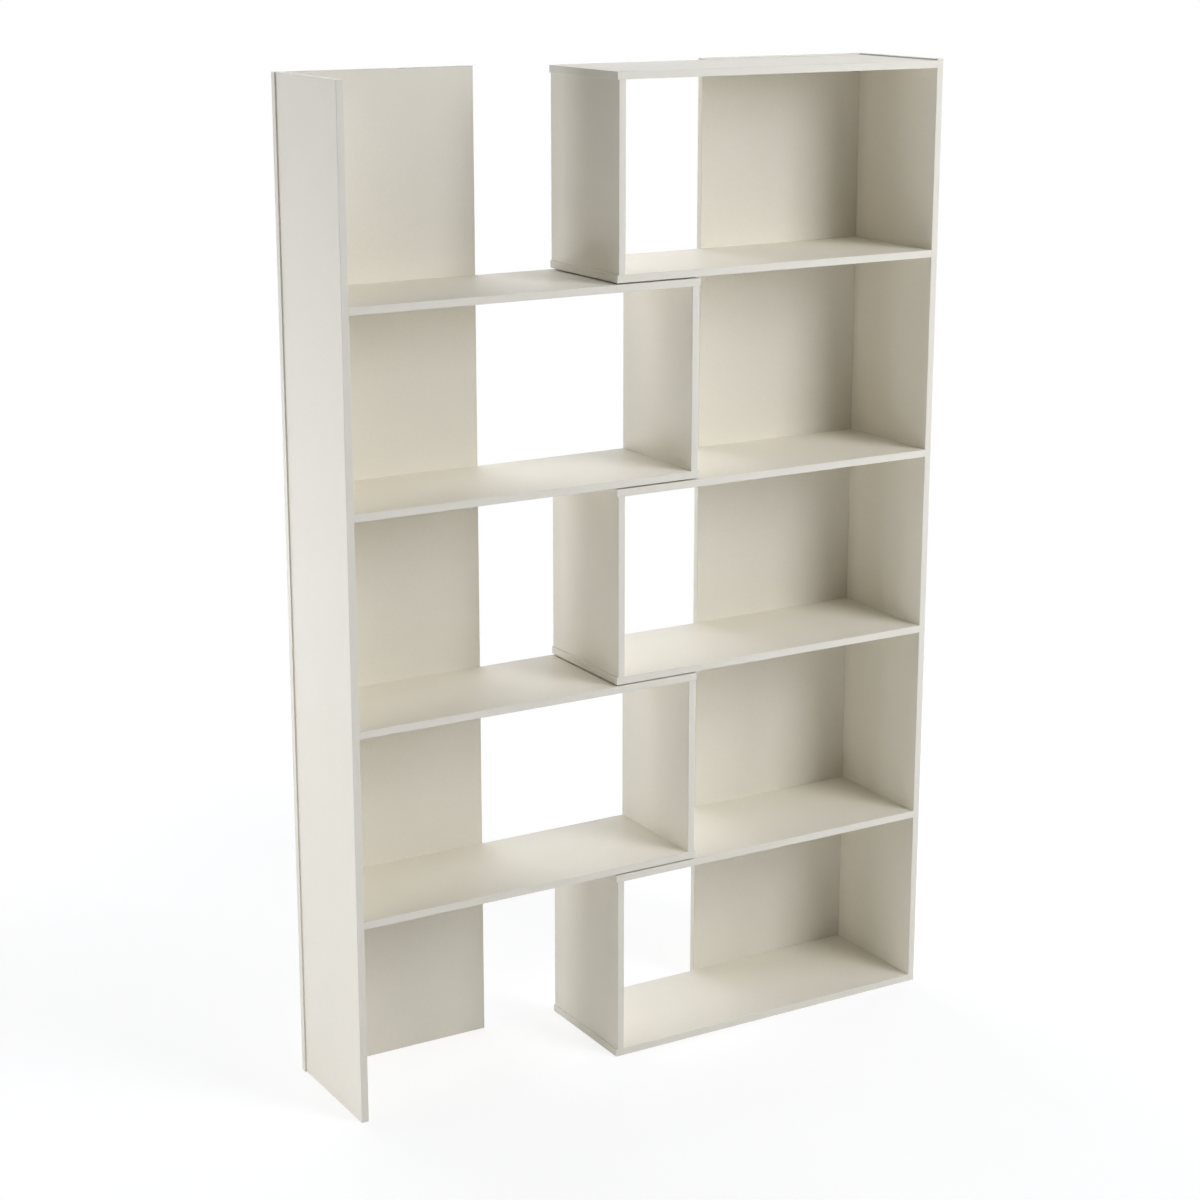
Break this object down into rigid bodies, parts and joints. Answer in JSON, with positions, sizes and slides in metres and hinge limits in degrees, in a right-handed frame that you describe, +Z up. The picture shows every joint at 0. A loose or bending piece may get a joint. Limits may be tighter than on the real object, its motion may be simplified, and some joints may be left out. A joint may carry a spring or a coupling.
{
  "type": "extending bookcase",
  "caption": "Extending bookcase: interlocking halves of shelves, dividers, side and back boards slide sideways into each other to set the width.",
  "frame": {"origin": "on the floor, in the middle of the drawn-out bookcase's box", "axes": "+Z up, +X along the shelves towards the right-hand side panel, +Y from the front towards the wall"},
  "size_m": [1.348, 0.277, 2],
  "materials": {
    "melamine_board": "matt warm white melamine facing with a fine grain on chipboard",
    "edge_band": "matt warm white edge banding",
    "cam_zinc": "dull die-cast zinc",
    "fastener_steel": "bright zinc-plated steel",
    "dowel_beech": "raw beech with fine flutes",
    "pad_felt": "pressed off-white felt"
  },
  "bodies": {
    "right_half": {"right_back_panel": "melamine_board", "right_back_screws": "fastener_steel", "right_divider_cam_bolts": "fastener_steel", "right_divider_cam_locks": "cam_zinc", "right_divider_dowels": "dowel_beech", "right_divider_lower": "melamine_board", "right_divider_middle": "melamine_board", "right_divider_upper": "melamine_board", "right_edge_bands": "edge_band", "right_glide_pads": "pad_felt", "right_shelf_1": "melamine_board", "right_shelf_2": "melamine_board", "right_shelf_3": "melamine_board", "right_shelf_4": "melamine_board", "right_shelf_5": "melamine_board", "right_shelf_6": "melamine_board", "right_shelf_cam_bolts": "fastener_steel", "right_shelf_cam_locks": "cam_zinc", "right_shelf_dowels": "dowel_beech", "right_side_panel": "melamine_board"},
    "left_half": {"left_back_panel": "melamine_board", "left_back_screws": "fastener_steel", "left_divider_cam_bolts": "fastener_steel", "left_divider_cam_locks": "cam_zinc", "left_divider_dowels": "dowel_beech", "left_divider_lower": "melamine_board", "left_divider_upper": "melamine_board", "left_edge_bands": "edge_band", "left_glide_pads": "pad_felt", "left_shelf_1": "melamine_board", "left_shelf_2": "melamine_board", "left_shelf_3": "melamine_board", "left_shelf_4": "melamine_board", "left_shelf_cam_bolts": "fastener_steel", "left_shelf_cam_locks": "cam_zinc", "left_shelf_dowels": "dowel_beech", "left_side_panel": "melamine_board"}
  },
  "joints": [
    {"name": "width_slide", "type": "slide", "parent": "right_half", "child": "left_half", "axis": [1, 0, 0], "range_m": [0, 0.522]}
  ]
}
